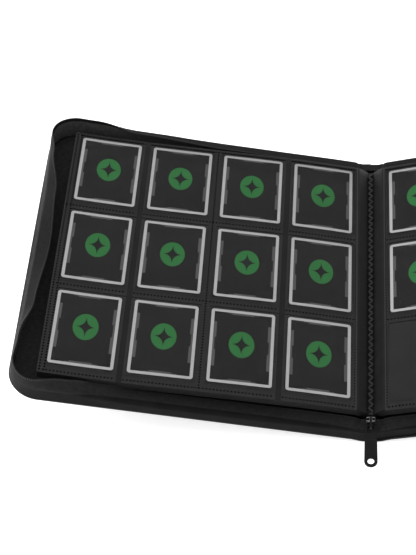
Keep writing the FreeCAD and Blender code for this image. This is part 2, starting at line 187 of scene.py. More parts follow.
def roughness_drift(tree, shader, place, low, high, scale):
    """Roughness that drifts between two values, in place of one even value."""
    noise = add_node(tree, "TexNoise", {"Vector": place, "Scale": scale, "Detail": 3.0})
    spread = add_node(
        tree, "MapRange", {"Value": noise.outputs["Fac"], "To Min": low, "To Max": high}
    )
    tree.links.new(spread.outputs["Result"], shader.inputs["Roughness"])


def emboss(tree, shader, height, depth, strength):
    bump = add_node(tree, "Bump", {"Height": height, "Distance": depth, "Strength": strength})
    tree.links.new(bump.outputs["Normal"], shader.inputs["Normal"])


def grained_leatherette(name, dark, light, gloss):
    """Pebbled leatherette: small rounded cells with creases between them."""
    made, tree, shader = new_finish(name, Specular_IOR_Level=gloss)
    place = object_place(tree)
    mottle(tree, shader, place, dark, light, 45.0)
    roughness_drift(tree, shader, place, 0.46, 0.64, 160.0)
    warp = add_node(tree, "TexNoise", {"Vector": place, "Scale": 420.0, "Detail": 2.0})
    bent = add_node(
        tree, "VectorMath", {0: warp.outputs["Color"], "Scale": 0.0011}, operation="SCALE"
    )
    moved = add_node(tree, "VectorMath", {0: place, 1: bent.outputs["Vector"]}, operation="ADD")
    cells = add_node(
        tree, "TexVoronoi", {"Vector": moved.outputs["Vector"], "Scale": 780.0},
        feature="DISTANCE_TO_EDGE",
    )
    crease = add_node(
        tree, "MapRange", {"Value": cells.outputs["Distance"], "From Max": 0.22}
    )
    emboss(tree, shader, crease.outputs["Result"], 0.00016, 0.5)
    return made


def climb(edge):
    """How far an edge rises from one end to the other."""
    return abs(edge.verts[0].co.z - edge.verts[1].co.z)


def ease(made, edges, offset, segments=2, **more):
    """Round edges off by an even offset."""
    bmesh.ops.bevel(
        made, geom=edges, offset=offset, offset_type="OFFSET", segments=segments,
        profile=0.5, affect="EDGES", material=-1, **more,
    )


def block(low, high, corner=0.0, rim=0.0, round_all=False):
    """A block with its outer upright corners rounded and its rim edges eased."""
    made = bmesh.new()
    low, high = Vector(low), Vector(high)
    stretch = Matrix.Diagonal((*(high - low), 1))
    bmesh.ops.create_cube(made, size=1.0, matrix=Matrix.Translation((low + high) / 2) @ stretch)
    if corner:
        posts = [
            e for e in made.edges
            if climb(e) > TINY and (round_all or e.verts[0].co.x > high.x - 1e-6)
        ]
        ease(made, posts, corner, segments=10)
    if rim:
        ease(made, [e for e in made.edges if climb(e) < TINY], rim)
    return made


def slice_at(made, axis, places):
    """Cut the mesh across an axis at each place, so that it can bend there."""
    normal = Vector([1.0 if i == axis else 0.0 for i in range(3)])
    for place in places:
        bmesh.ops.bisect_plane(
            made, geom=made.verts[:] + made.edges[:] + made.faces[:], dist=TINY,
            plane_co=normal * place, plane_no=normal,
        )


def steps(low, high, count):
    return [low + (high - low) * i / count for i in range(count + 1)]


def show(made, name, finish, sharp=38.0, flipped=False):
    """Close a bmesh into a piece at the origin, smooth but for its sharp edges."""
    if flipped:
        bmesh.ops.reverse_faces(made, faces=made.faces[:])
    mesh = bpy.data.meshes.new(name)
    made.to_mesh(mesh)
    made.free()
    mesh.shade_smooth()
    mesh.set_sharp_from_angle(angle=math.radians(sharp))
    piece = bpy.data.objects.new(name, mesh)
    bpy.context.scene.collection.objects.link(piece)
    for one in finish if isinstance(finish, (list, tuple)) else [finish]:
        mesh.materials.append(one)
    return piece


def under_path(u):
    """The album's underside seen along the spine: across and level at a run from the hinge."""
    c, s = math.cos(COVER_TILT), math.sin(COVER_TILT)
    root = Vector((HINGE.x + COVER_HALF * s, HINGE.z - COVER_HALF * c))
    wing = root.y / math.sin(WING_TILT)
    if u >= 0:
        return root + u * Vector((c, s))
    if u > -wing:
        return root + u * Vector((math.cos(WING_TILT), math.sin(WING_TILT)))
    return Vector((SPINE_HALF + u + wing, 0.0))


def eased(path, u):
    """A path with its corners rounded off."""
    return (path(u - PATH_EASE) + 2 * path(u) + path(u + PATH_EASE)) / 4


def on_path(path, sign, u, y, w):
    """The point at run u and height w above a path, on one side of the album."""
    at = eased(path, u)
    ahead = (eased(path, u + PROBE) - eased(path, u - PROBE)).normalized()
    return Vector((sign * (at.x - w * ahead.y), y, at.y + w * ahead.x))


def bend_onto(made, path, sign):
    for v in made.verts:
        v.co = on_path(path, sign, *v.co)


leather = grained_leatherette("black_leatherette", grey(0.0035), grey(0.0065), 0.14)

for side, sign in SIDES:
    wrap = block(
        (WRAP_START, -HALF_HEIGHT, 0), (COVER_LONG, HALF_HEIGHT, BOARD_STACK),
        corner=COVER_CORNER, rim=WRAP_RIM,
    )
    slice_at(wrap, 0, steps(-0.0065, 0.0055, 8) + [0.008] + steps(*BEND_SPAN, 14))
    slice_at(wrap, 1, steps(-HALF_CUTS, HALF_CUTS, 12))
    for v in wrap.verts:
        share = min(1.0, max(0.0, (v.co.x - BOARD_START) / BOARD_EASE))
        v.co.z *= HINGE_SKIN / BOARD_STACK + (1 - HINGE_SKIN / BOARD_STACK) * share
    bend_onto(wrap, under_path, sign)
    piece = show(wrap, side + "_cover", leather, flipped=sign < 0)
    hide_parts(side + "_cover_skin", side + "_cover_board")
    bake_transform(piece)

# --- Cover linings -------------------------------------------------------------
# A thin woven lining is glued inside each board, short of the edge, and covers the
# turned-in leatherette.

LINING_INSET = 0.003
LINING_THICK = 0.0006
LINING_START = 0.0048
LINING_SUNK = 0.0001
LINING_RIM = 0.0002


def woven_cloth(name, dark, light, threads, depth, rough=0.8):
    """Plain weave: two sets of fine ridges that cross."""
    made, tree, shader = new_finish(name, rough, Specular_IOR_Level=0.2)
    place = object_place(tree)
    mottle(tree, shader, place, dark, light, 300.0)
    ridges = []
    for direction in ("X", "Y"):
        ridges.append(add_node(
            tree, "TexWave", {"Vector": place, "Scale": threads, "Distortion": 0.6},
            bands_direction=direction,
        ).outputs["Fac"])
    both = add_node(tree, "Math", {0: ridges[0], 1: ridges[1]}, operation="MAXIMUM")
    emboss(tree, shader, both.outputs["Value"], depth, 0.6)
    return made


lining_cloth = woven_cloth("lining_weave", grey(0.012), grey(0.021), 330.0, 0.00012)

for side, sign in SIDES:
    lining = block(
        (LINING_START, LINING_INSET - HALF_HEIGHT, BOARD_STACK - LINING_SUNK),
        (COVER_LONG - LINING_INSET, HALF_HEIGHT - LINING_INSET, BOARD_STACK + LINING_THICK),
        corner=COVER_CORNER - LINING_INSET, rim=LINING_RIM,
    )
    slice_at(lining, 0, steps(*BEND_SPAN, 7))
    bend_onto(lining, under_path, sign)
    piece = show(lining, side + "_lining", lining_cloth, flipped=sign < 0)
    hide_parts(side + "_cover_lining")
    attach(piece, side + "_cover")

# --- Spine ----------------------------------------------------------------------
# A narrow stiffened strip in the same leatherette, which the album lies on. Its lining
# is the same weave as the covers'.

SPINE_THICK = 0.0028
SPINE_EDGE = 0.0015
SPINE_TAPER = 0.93
SPINE_LINING_HALF = 0.0088

spine_wrap = block(
    (-SPINE_HALF, -HALF_HEIGHT, 0), (SPINE_HALF, HALF_HEIGHT, SPINE_THICK), rim=0.0003
)
slice_at(spine_wrap, 1, steps(-HALF_CUTS, HALF_CUTS, 8))
for v in spine_wrap.verts:
    if v.co.z > HINGE_SKIN and abs(v.co.x) > SPINE_HALF - SPINE_EDGE:
        v.co.x *= SPINE_TAPER
piece = show(spine_wrap, "spine_strip", leather)
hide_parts("spine_skin", "spine_board")
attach(piece, "spine")

spine_lining = block(
    (-SPINE_LINING_HALF, LINING_INSET - HALF_HEIGHT, SPINE_THICK - LINING_SUNK),
    (SPINE_LINING_HALF, HALF_HEIGHT - LINING_INSET, BOARD_STACK + LINING_THICK), rim=LINING_RIM,
)
slice_at(spine_lining, 1, steps(-HALF_CUTS, HALF_CUTS, 8))
piece = show(spine_lining, "spine_inner_cloth", lining_cloth)
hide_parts("spine_lining")
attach(piece, "spine")

# --- Side wall, zip tape and piping ----------------------------------------------
# A soft wall of smooth black cloth stands round three sides of each half, sewn to the
# cover's edge with a thin piping, and carries one tape of the zip. It stands up at the
# stiff corners and folds or flops inwards between them.

SPINE_RUN = HINGE.x + 0.0011
FOLD_SOFT = 0.0022
WALL_FOOT = 0.0012
END_SHARE = 0.12
END_RUN = 0.045
CREASE_RUN = 0.0176
CREASE_SLANT = 0.0061
CREASE_DEEP = 0.0011
CREASE_WIDE = 0.0014
CREASE_START = 0.006
CREASE_EASE = 0.006
SLANT_START = 0.012
SLANT_EASE = 0.014
LEAN_RUN = 0.06
EDGE_PROBE = 0.0005
RIBBON_WIDE = 0.0262
WALL_WIDE = 0.0155
WALL_THICK = 0.0012
BACKING_THICK = 0.0003
BACKING_LIFT = -0.0010
BACKING_START = 0.0006
BACKING_SHORT = 0.0030
TAPE_THICK = 0.0006
TAPE_LIFT = 0.0007
TAPE_LAP = 0.002
PIPING_RADIUS = 0.0011
PIPING_OUT = 0.0006
PIPING_LEVEL = 0.0013
STRAIGHT = COVER_LONG - COVER_CORNER + SPINE_RUN
ARC = math.pi / 2 * COVER_CORNER
FORE = 2 * (HALF_HEIGHT - COVER_CORNER)
ROUND_TRIP = 2 * STRAIGHT + 2 * ARC + FORE
# run along the edge from the near end of the spine, height of the fold, lean of the
# wall and lean of the band above the fold (degrees from upright)
WALL_SHAPE = (
    (0.000, 0.0142, 2, 88),
    (0.050, 0.0118, 4, 92),
    (0.120, 0.0097, 5, 97),
    (0.225, 0.0100, 5, 96),
    (0.270, 0.0122, 5, 84),
    (0.300, 0.0160, 6, 50),
    (0.345, 0.0200, 2, 4),
    (0.395, 0.0190, 8, 16),
    (0.440, 0.0140, 20, 44),
    (0.520, 0.0125, 26, 66),
    (0.590, 0.0140, 22, 52),
    (0.640, 0.0190, 10, 26),
    (0.684, 0.0240, -3, 2),
    (0.722, 0.0240, -1, 22),
    (0.770, 0.0205, 3, 78),
    (0.870, 0.0185, 4, 92),
    (ROUND_TRIP, 0.0172, 2, 92),
)


def smooth(t):
    t = min(1.0, max(0.0, t))
    return t * t * (3 - 2 * t)


def edge_line(s):
    """Run, place along the spine and inward direction at a distance along the edge."""
    y = HALF_HEIGHT
    if s <= STRAIGHT:
        return s - SPINE_RUN, -y, 0.0, 1.0
    if s <= STRAIGHT + ARC:
        turn = (s - STRAIGHT) / COVER_CORNER
        u, v = math.sin(turn), math.cos(turn)
        centre = COVER_LONG - COVER_CORNER
        return centre + COVER_CORNER * u, COVER_CORNER - y - COVER_CORNER * v, -u, v
    if s <= STRAIGHT + ARC + FORE:
        return COVER_LONG, s - STRAIGHT - ARC + COVER_CORNER - y, -1.0, 0.0
    if s <= STRAIGHT + 2 * ARC + FORE:
        turn = (s - STRAIGHT - ARC - FORE) / COVER_CORNER
        u, v = math.cos(turn), math.sin(turn)
        centre = COVER_LONG - COVER_CORNER
        return centre + COVER_CORNER * u, y - COVER_CORNER + COVER_CORNER * v, -u, -v
    return ROUND_TRIP - s - SPINE_RUN, y, 0.0, -1.0


def wall_shape_at(s):
    """Fold height and the two leans at a distance along the edge."""
    for before, after in zip(WALL_SHAPE, WALL_SHAPE[1:]):
        if s <= after[0]:
            break
    t = smooth((s - before[0]) / (after[0] - before[0]))
    return [a + (b - a) * t for a, b in zip(before[1:], after[1:])]


def wall_offset(s, w):
    """How far in and how high the wall's cloth is at a width w from the cover's edge."""
    fold, lean, band = wall_shape_at(s)
    inward = up = 0.0
    bits = 14
    for i in range(bits):
        middle = w * (i + 0.5) / bits
        t = smooth((middle - fold + FOLD_SOFT) / (2 * FOLD_SOFT))
        angle = math.radians(lean + (band - lean) * t)
        inward += math.sin(angle) * w / bits
        up += math.cos(angle) * w / bits
    return inward, up


def wall_point(sign, s, w):
    """The point of the wall's cloth at a distance along the edge and a width from it."""
    u, y, across, along = edge_line(s)
    inward, up = wall_offset(s, w)
    # at each end of the spine a slanting crease marks where the wall folds to shut
    slant = CREASE_RUN - CREASE_SLANT * smooth((w - SLANT_START) / SLANT_EASE)
    off = (min(s, ROUND_TRIP - s) - slant) / CREASE_WIDE
    up -= CREASE_DEEP * smooth((w - CREASE_START) / CREASE_EASE) * math.exp(-(off ** 2))
    foot = on_path(under_path, sign, u + across * inward, y + along * inward, WALL_FOOT)
    lean = COVER_TILT * smooth((u + SPINE_RUN) / LEAN_RUN)
    return foot + up * Vector((-sign * math.sin(lean), 0.0, math.cos(lean)))


def wall_frame(sign, s, w):
    """Place on the wall, with its directions along the edge, up the cloth and out of it."""
    at = wall_point(sign, s, w)
    along = (wall_point(sign, s + EDGE_PROBE, w) - at).normalized()
    rise = (wall_point(sign, s, w + PROBE) - at).normalized()
    return at, along, rise, along.cross(rise).normalized() * sign


def along_edge(t):
    """Distance along the edge for a share of the strip's columns, closer at its ends."""
    if t < END_SHARE:
        return END_RUN * t / END_SHARE
    if t > 1 - END_SHARE:
        return ROUND_TRIP - END_RUN * (1 - t) / END_SHARE
    return END_RUN + (ROUND_TRIP - 2 * END_RUN) * (t - END_SHARE) / (1 - 2 * END_SHARE)


def cloth_strip(sign, low, high, rows, thick, lift=0.0):
    """A strip of the wall's cloth between two widths, with a thickness."""
    made = bmesh.new()
    bmesh.ops.create_grid(made, x_segments=300, y_segments=rows, size=0.5)
    for v in made.verts:
        s = along_edge(v.co.x + 0.5)
        w = low + (v.co.y + 0.5) * (high - low)
        at, _, _, out = wall_frame(sign, s, w)
        v.co = at + out * lift
    bmesh.ops.recalc_face_normals(made, faces=made.faces[:])
    bmesh.ops.solidify(made, geom=made.faces[:], thickness=thick)
    bmesh.ops.recalc_face_normals(made, faces=made.faces[:])
    return made


wall_cloth = grained_leatherette("wall_cloth", grey(0.0035), grey(0.0065), 0.06)
# the wall's inner lining, a paler weave: its lightness is partly the lining's own and partly painted
# light on the shaded inside of the wall
inner_lining_painted_light = woven_cloth(
    "wall_inner_weave", (0.034, 0.034, 0.033), (0.054, 0.054, 0.052), 520.0, 0.0001, 0.85
)
tape_cloth = woven_cloth("zip_tape_weave", grey(0.0065), grey(0.0120), 420.0, 0.0001)
piping_vinyl, tree, shader = new_finish("piping_vinyl", 0.35, Specular_IOR_Level=0.4)
mottle(tree, shader, object_place(tree), grey(0.005), grey(0.009), 90.0)

for side, sign in SIDES:
    wall = show(cloth_strip(sign, 0.0, WALL_WIDE, 14, WALL_THICK), side + "_wall", wall_cloth, 60)
    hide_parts(side + "_gusset", "spine_end_near", "spine_end_far")
    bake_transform(wall)
    # a lining strip just inside the wall, paler than the wall, partly painted light on its shaded
    # inner face
    backing = cloth_strip(
        sign, BACKING_START, RIBBON_WIDE - BACKING_SHORT, 20, BACKING_THICK, BACKING_LIFT
    )
    backing = show(backing, side + "_wall_backing", inner_lining_painted_light, 60)
    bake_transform(backing)
    tape = cloth_strip(sign, WALL_WIDE - TAPE_LAP, RIBBON_WIDE, 10, TAPE_THICK, TAPE_LIFT)
    tape = show(tape, side + "_tape", tape_cloth, 60)
    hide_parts(side + "_zip_tape")
    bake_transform(tape)
    cord = bmesh.new()
    bmesh.ops.create_grid(cord, x_segments=260, y_segments=8, size=0.5)
    for v in cord.verts:
        s = (v.co.x + 0.5) * ROUND_TRIP
        round_it = (v.co.y + 0.5) * 2 * math.pi
        u, y, across, along = edge_line(s)
        out = PIPING_RADIUS * math.cos(round_it) + PIPING_OUT
        level = PIPING_LEVEL + PIPING_RADIUS * math.sin(round_it)
        v.co = on_path(under_path, sign, u - across * out, y - along * out, level)
    bmesh.ops.remove_doubles(cord, verts=cord.verts[:], dist=1e-6)
    bmesh.ops.holes_fill(cord, edges=cord.edges[:], sides=0)
    bmesh.ops.recalc_face_normals(cord, faces=cord.faces[:])
    cord = show(cord, side + "_edge_piping", piping_vinyl, 60)
    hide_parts(side + "_piping")
    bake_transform(cord)

# --- Zip coil --------------------------------------------------------------------
# Each tape carries a nylon coil on its free edge: small rounded loops 2 mm apart, held
# by a row of stitches.

COIL_PITCH = 0.0020
COIL_START = 0.001
COIL_INSET = 0.0002
COIL_LIFT = 0.0008
LOOP_HALF = (0.00068, 0.0013, 0.0009)
coil_nylon, tree, shader = new_finish("coil_nylon", 0.32, Specular_IOR_Level=0.5)
mottle(tree, shader, object_place(tree), grey(0.007), grey(0.013), 500.0)

for side, sign in SIDES:
    coil = bmesh.new()
    for i in range(int((ROUND_TRIP - 2 * COIL_START) / COIL_PITCH)):
        s = COIL_START + i * COIL_PITCH
        at, *axes = wall_frame(sign, s, RIBBON_WIDE - COIL_INSET)
        turn = Matrix([axis * half for axis, half in zip(axes, LOOP_HALF)]).transposed().to_4x4()
        bmesh.ops.create_icosphere(
            coil, subdivisions=1, radius=1.0,
            matrix=Matrix.Translation(at + axes[2] * COIL_LIFT) @ turn,
        )
    bmesh.ops.recalc_face_normals(coil, faces=coil.faces[:])
    coil = show(coil, side + "_coil", coil_nylon, 90)
    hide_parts(side + "_zip_coil")
    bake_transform(coil)

# --- Binding ----------------------------------------------------------------------
# The leaves' inner margins are gathered on an upright strip of stiff cloth and sewn
# through with a heavy zigzag of black thread that shows along the gutter.

LEAF_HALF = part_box("binding_strip")[1].y
BINDING_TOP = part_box("binding_strip")[1].z
STITCH_LONG = 0.0040
STITCH_SWING = 0.0023
STITCH_HALF = (0.00175, 0.0010)
STITCH_LAP = 0.58
STITCH_LEVEL = BINDING_TOP + 0.0013
SEAM_INSET = 0.003
HOLE_LEVEL = BINDING_TOP + 0.0006
FOLD_HALF = 0.0031
FOLD_BELOW = 0.0014
FOLD_ABOVE = 0.0005
strip = frame["nodes"]["binding_strip"]
strip.data.materials.clear()
strip.data.materials.append(lining_cloth)

thread_twist, tree, shader = new_finish("thread_twist", 0.6, Specular_IOR_Level=0.35)
place = object_place(tree)
mottle(tree, shader, place, grey(0.018), grey(0.032), 700.0)
ply = add_node(
    tree, "TexWave", {"Vector": place, "Scale": 520.0, "Distortion": 1.5},
    bands_direction="DIAGONAL",
)
emboss(tree, shader, ply.outputs["Fac"], 0.0002, 0.8)
# near-black, unreflecting finish for the needle holes: painted shade standing in for their shadowed
# insides
needle_hole_shade, tree, shader = new_finish("needle_hole", 0.9, Specular_IOR_Level=0.0)
mottle(tree, shader, object_place(tree), grey(0.001), grey(0.003), 400.0)

# the cloth is folded over the gathered margins, and the thread runs on the fold
fold = block(
    (-FOLD_HALF, -LEAF_HALF, BINDING_TOP - FOLD_BELOW),
    (FOLD_HALF, LEAF_HALF, BINDING_TOP + FOLD_ABOVE),
    corner=0.0004, rim=0.0004, round_all=True,
)
fold = show(fold, "gutter_fold", lining_cloth)
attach(fold, "spine")

stitches = bmesh.new()
holes = bmesh.new()
for i in range(int(2 * (LEAF_HALF - SEAM_INSET) / STITCH_LONG)):
    y = -LEAF_HALF + SEAM_INSET + i * STITCH_LONG
    swing = STITCH_SWING if i % 2 else -STITCH_SWING
    start = Vector((-swing, y, STITCH_LEVEL))
    end = Vector((swing, y + STITCH_LONG, STITCH_LEVEL))
    run = end - start
    turn = run.to_track_quat("Z", "X").to_matrix().to_4x4()
    bmesh.ops.create_uvsphere(
        stitches, u_segments=8, v_segments=6, radius=1.0,
        matrix=Matrix.Translation((start + end) / 2) @ turn
        @ Matrix.Diagonal((*STITCH_HALF, run.length * STITCH_LAP, 1)),
    )
    # a dark cone at each needle hole, painted shade where the hole's inside lies in shadow
    bmesh.ops.create_cone(
        holes, cap_ends=True, segments=8, radius1=0.0009, radius2=0.0006, depth=0.0004,
        matrix=Matrix.Translation((0.45 * swing, y + 0.0002, HOLE_LEVEL)),
    )
stitches = show(stitches, "gutter_stitches", thread_twist, 90)
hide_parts("binding_thread")
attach(stitches, "spine")
holes = show(holes, "needle_holes", needle_hole_shade)
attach(holes, "spine")

# --- Lower leaves -----------------------------------------------------------------
# Four more leaves lie under the top one on each side. Each is a black sheet with
# pockets on both faces, so its cut edge is thick and a little glossy.

LEAF_TILT = math.radians(11.37)
MARGIN_TILT = math.radians(38.0)
LEAF_ACROSS = 0.0126
LEAF_LEVEL = 0.0297
LEAF_LONG = 0.3089
LEAF_PITCH = 0.00214
LEAF_SAG = 0.0150
LEAF_THICK = 0.0013
LEAF_CORNER = 0.0015
MARGIN_FULL = 0.0112 / math.cos(MARGIN_TILT)
MARGIN_FLOOR = 0.0186
LEAF_CUTS = steps(0.012, 0.30, 22)
LEAF_HALF_CUTS = 0.15


def leaf_path(drop):
    """A leaf's face seen along the spine: a steep margin, then a shallow S."""
    c, s = math.cos(LEAF_TILT), math.sin(LEAF_TILT)
    root = Vector((LEAF_ACROSS + drop * s, LEAF_LEVEL - drop * c))

    def path(u):
        if u < 0:
            return root + u * Vector((math.cos(MARGIN_TILT), math.sin(MARGIN_TILT)))
        t = u / LEAF_LONG
        wave = LEAF_SAG * t * (1 - t) * (1 - 2 * t) if t < 1 else 0.0
        return root + u * Vector((c, s)) + wave * Vector((-s, c))

    return path


def margin_run(path):
    """How far the margin runs down before it meets the binding or its foot."""
    return min(MARGIN_FULL, (path(0).y - MARGIN_FLOOR) / math.sin(MARGIN_TILT))


leaf_black, tree, shader = new_finish("leaf_polypropylene", Specular_IOR_Level=0.32)
place = object_place(tree)
mottle(tree, shader, place, grey(0.0045), grey(0.0075), 60.0)
roughness_drift(tree, shader, place, 0.34, 0.5, 90.0)
fine = add_node(tree, "TexNoise", {"Vector": place, "Scale": 2600.0, "Detail": 2.0})
emboss(tree, shader, fine.outputs["Fac"], 0.00004, 0.5)

for side, sign in SIDES:
    for number in (1, 2, 3, 4):
        path = leaf_path(LEAF_PITCH * number)
        leaf = block(
            (-margin_run(path), -LEAF_HALF, -LEAF_THICK), (LEAF_LONG, LEAF_HALF, 0.0),
            corner=LEAF_CORNER, rim=0.00035,
        )
        slice_at(leaf, 0, [-0.004, *steps(-0.002, 0.002, 4), 0.004] + LEAF_CUTS)
        slice_at(leaf, 1, steps(-LEAF_HALF_CUTS, LEAF_HALF_CUTS, 4))
        bend_onto(leaf, path, sign)
        name = "%s_leaf_%d" % (side, number + 1)
        piece = show(leaf, name + "_sheet", leaf_black, flipped=sign < 0)
        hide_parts(name)
        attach(piece, side + "_leaf_block")

# --- Top leaf -----------------------------------------------------------------------
# The leaf that is open on each side: a black sheet whose inner margin bends down into
# the gutter.

SHEET_FACE = -0.0012
SHEET_THICK = 0.0004
SHEET_RISE = -SHEET_FACE - 0.0002
SHEET_EASE = 0.003
top_path = leaf_path(0.0)
MARGIN_RUN = margin_run(top_path)
COLUMN_FIRST = 0.0389
COLUMN_PITCH = 0.0766
POCKET_WIDE = 0.0710
COLUMNS = [COLUMN_FIRST + COLUMN_PITCH * i for i in range(4)]
half_wide = POCKET_WIDE / 2
WELD_GLOSS = 0.42
BARE_GLOSS = 0.16


def sheet_finish():
    """Black sheet: shiny where film is welded on, dull in the gutter and pocket mouths."""
    made, tree, shader = new_finish("sheet_polypropylene", 0.42)
    place = object_place(tree)
    mottle(tree, shader, place, grey(0.0045), grey(0.0075), 60.0)
    across = add_node(tree, "SeparateXYZ", {"Vector": place}).outputs["X"]
    across = add_node(tree, "Math", {0: across}, operation="ABSOLUTE").outputs["Value"]
    bare = None
    for low, high in (
        (-MARGIN_RUN, 0.0005), (COLUMNS[0] + half_wide, COLUMNS[1] - half_wide),
        (COLUMNS[2] + half_wide, COLUMNS[3] - half_wide),
    ):
        ends = [on_path(top_path, 1, u, 0, SHEET_FACE).x for u in (low, high)]
        strip = add_node(
            tree, "Math", {0: across, 1: sum(ends) / 2, 2: (ends[1] - ends[0]) / 2},
            operation="COMPARE",
        ).outputs["Value"]
        if bare is not None:
            strip = add_node(tree, "Math", {0: bare, 1: strip}, operation="MAXIMUM").outputs["Value"]
        bare = strip
    gloss = add_node(
        tree, "MapRange", {"Value": bare, "To Min": WELD_GLOSS, "To Max": BARE_GLOSS}
    )
    tree.links.new(gloss.outputs["Result"], shader.inputs["Specular IOR Level"])
    return made


sheet_black = sheet_finish()

for side, sign in SIDES:
    sheet = block(
        (-MARGIN_RUN, -LEAF_HALF, SHEET_FACE - SHEET_THICK), (LEAF_LONG, LEAF_HALF, SHEET_FACE),
        corner=LEAF_CORNER, rim=0.00012,
    )
    slice_at(sheet, 0, steps(-0.010, -0.006, 2) + steps(-0.004, 0.003, 7) + [0.005] + LEAF_CUTS)
    slice_at(sheet, 1, steps(-LEAF_HALF_CUTS, LEAF_HALF_CUTS, 6))
    for v in sheet.verts:
        # towards the gutter the margin comes up to the weld line's level
        v.co.z += min(1.0, max(0.0, 1 - v.co.x / SHEET_EASE)) * SHEET_RISE
    bend_onto(sheet, top_path, sign)
    piece = show(sheet, side + "_open_sheet", sheet_black, flipped=sign < 0)
    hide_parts(side + "_top_leaf", side + "_top_margin")
    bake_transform(piece)

# --- Pocket films ---------------------------------------------------------------------
# Clear film is welded to the sheet in bands, and stands proud of it over each pocket.
# Cards go in from the open strips between columns one and two, and three and four.

ROW_MIDDLE = 0.00266
ROW_PITCH = 0.10526
POCKET_HIGH = 0.0970
SHOULDER = 0.0030
FILM_THICK = 0.00012
FILM_GLOSS = 0.05
FILM_RISE = 0.0009
FILM_GAP = 0.00006
FILM_INSET = 0.0006
FILM_SHORT = 0.0004
BEND_HALF = 0.024
ROWS = [ROW_MIDDLE + ROW_PITCH * i for i in (1, 0, -1)]
half_high = POCKET_HIGH / 2
PANELS = (
    (FILM_INSET, COLUMNS[0] + half_wide, (0,)),
    (COLUMNS[1] - half_wide, COLUMNS[2] + half_wide, (1, 2)),
    (COLUMNS[3] - half_wide, LEAF_LONG - FILM_INSET, (3,)),
)


def film_rise(u, y):
    """How far the film stands off its weld: full over a pocket and at its mouth."""
    rise = 0.0
    for number, middle in enumerate(COLUMNS):
        mouth = 1 if number % 2 == 0 else -1
        off = (u - middle) * mouth
        if off > half_wide + 0.001 or off < -half_wide:
            continue
        across = 1.0 if off > 0 else smooth((half_wide + off) / SHOULDER)
        for row in ROWS:
            rise = max(rise, across * smooth((half_high - abs(y - row)) / SHOULDER))
    return rise * FILM_RISE


def clear_film(name, gloss, haze, painted_slant_shade):
    """Clear plastic film: see-through and shinier where it is seen at a slant, and darkened there by
    painted shade.
    """
    made, tree, shader = new_finish(name, 0.12, Metallic=1.0, Base_Color=(1, 1, 1, 1))
    place = object_place(tree)
    drift = add_node(tree, "TexNoise", {"Vector": place, "Scale": 14.0, "Detail": 2.0})
    emboss(tree, shader, drift.outputs["Fac"], 0.0008, haze)
    # painted shade: the see-through part is darkened where the film is seen at a slant, drawing dark
    # lines along the pockets' shoulders
    facing = add_node(tree, "LayerWeight", {"Blend": 0.5})
    slant_shade_ramp = add_node(tree, "ValToRGB", {"Fac": facing.outputs["Facing"]})
    set_ramp(slant_shade_ramp, (0.30, grey(0.985)), (0.62, grey(painted_slant_shade)))
    bare = add_node(tree, "BsdfTransparent", {"Color": slant_shade_ramp.outputs["Color"]})
    slant = add_node(tree, "Fresnel", {"IOR": gloss})
    share = add_node(
        tree, "Math", {0: slant.outputs["Fac"], 1: FILM_GLOSS}, operation="MULTIPLY"
    )
    mixed = add_node(
        tree, "MixShader",
        {0: share.outputs["Value"], 1: bare.outputs["BSDF"], 2: shader.outputs["BSDF"]},
    )
    tree.links.new(mixed.outputs["Shader"], tree.nodes["Material Output"].inputs["Surface"])
    return made


def shoulder_cuts(middle, half):
    """Places of the cuts over a film's shoulders at both sides of a pocket."""
    return [
        middle + edge + toward * SHOULDER * k / 5
        for edge, toward in ((-half, 1), (half, -1)) for k in range(6)
    ]


def append_mesh(target, source):
    """Add one bmesh to another and free it."""
    spare = bpy.data.meshes.new("part")
    source.to_mesh(spare)
    source.free()
    target.from_mesh(spare)
    bpy.data.meshes.remove(spare)


# the last number sets how far painted shade darkens the pocket film where it is seen at a slant
pocket_film = clear_film("pocket_film", 1.05, 0.3, 0.45)

for side, sign in SIDES:
    films = bmesh.new()
    for low, high, columns in PANELS:
        panel = block(
            (low, FILM_SHORT - LEAF_HALF, SHEET_FACE),
            (high, LEAF_HALF - FILM_SHORT, SHEET_FACE + FILM_THICK),
        )
        runs = []
        for number in columns:
            middle = COLUMNS[number]
            runs += shoulder_cuts(middle, half_wide)
            runs += steps(middle - BEND_HALF, middle + BEND_HALF, 3)
        slice_at(panel, 0, [x for x in runs if low + 1e-5 < x < high - 1e-5])
        for row in ROWS:
            slice_at(panel, 1, shoulder_cuts(row, half_high) + [row])
        for v in panel.verts:
            v.co.z += film_rise(v.co.x, v.co.y) + FILM_GAP
        bend_onto(panel, top_path, sign)
        append_mesh(films, panel)
    piece = show(films, side + "_film", pocket_film, flipped=sign < 0)
    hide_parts(side + "_pocket_films")
    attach(piece, side + "_top_page")

# --- Weld marks -------------------------------------------------------------------------
# The welding wheel leaves a row of small round dents along every weld, each drawn as a flat dark
# disc of painted shade.

DENT_PITCH = 0.0034
DENT_SIZE = 0.00095
WELD_INSET = 0.0034
WELD_LINES = (0.0024, (COLUMNS[1] + COLUMNS[2]) / 2, LEAF_LONG - 0.0068, LEAF_LONG - 0.0024)
ROW_START = 0.004
ROW_STOP = 0.0016
# dark, nearly unreflecting finish for the dents: painted shade in each dent
weld_dent_shade, tree, shader = new_finish("weld_dent_shade", 0.6, Specular_IOR_Level=0.02)
mottle(tree, shader, object_place(tree), grey(0.001), grey(0.003), 200.0)


def weld_row(made, path, sign, start, end, level):
    """Dents from one point of a leaf to another, in run and place along the spine."""
    start, end = Vector(start), Vector(end)
    count = int((end - start).length / DENT_PITCH)
    for i in range(count + 1):
        u, y = start + (end - start) * i / count
        at = on_path(path, sign, u, y, level)
        up = (on_path(path, sign, u, y, level + 0.001) - at).normalized()
        bmesh.ops.create_cone(
            made, cap_ends=True, segments=8, radius1=DENT_SIZE, radius2=DENT_SIZE * 0.7,
            depth=0.0001,
            matrix=Matrix.Translation(at) @ up.to_track_quat("Z", "Y").to_matrix().to_4x4(),
        )


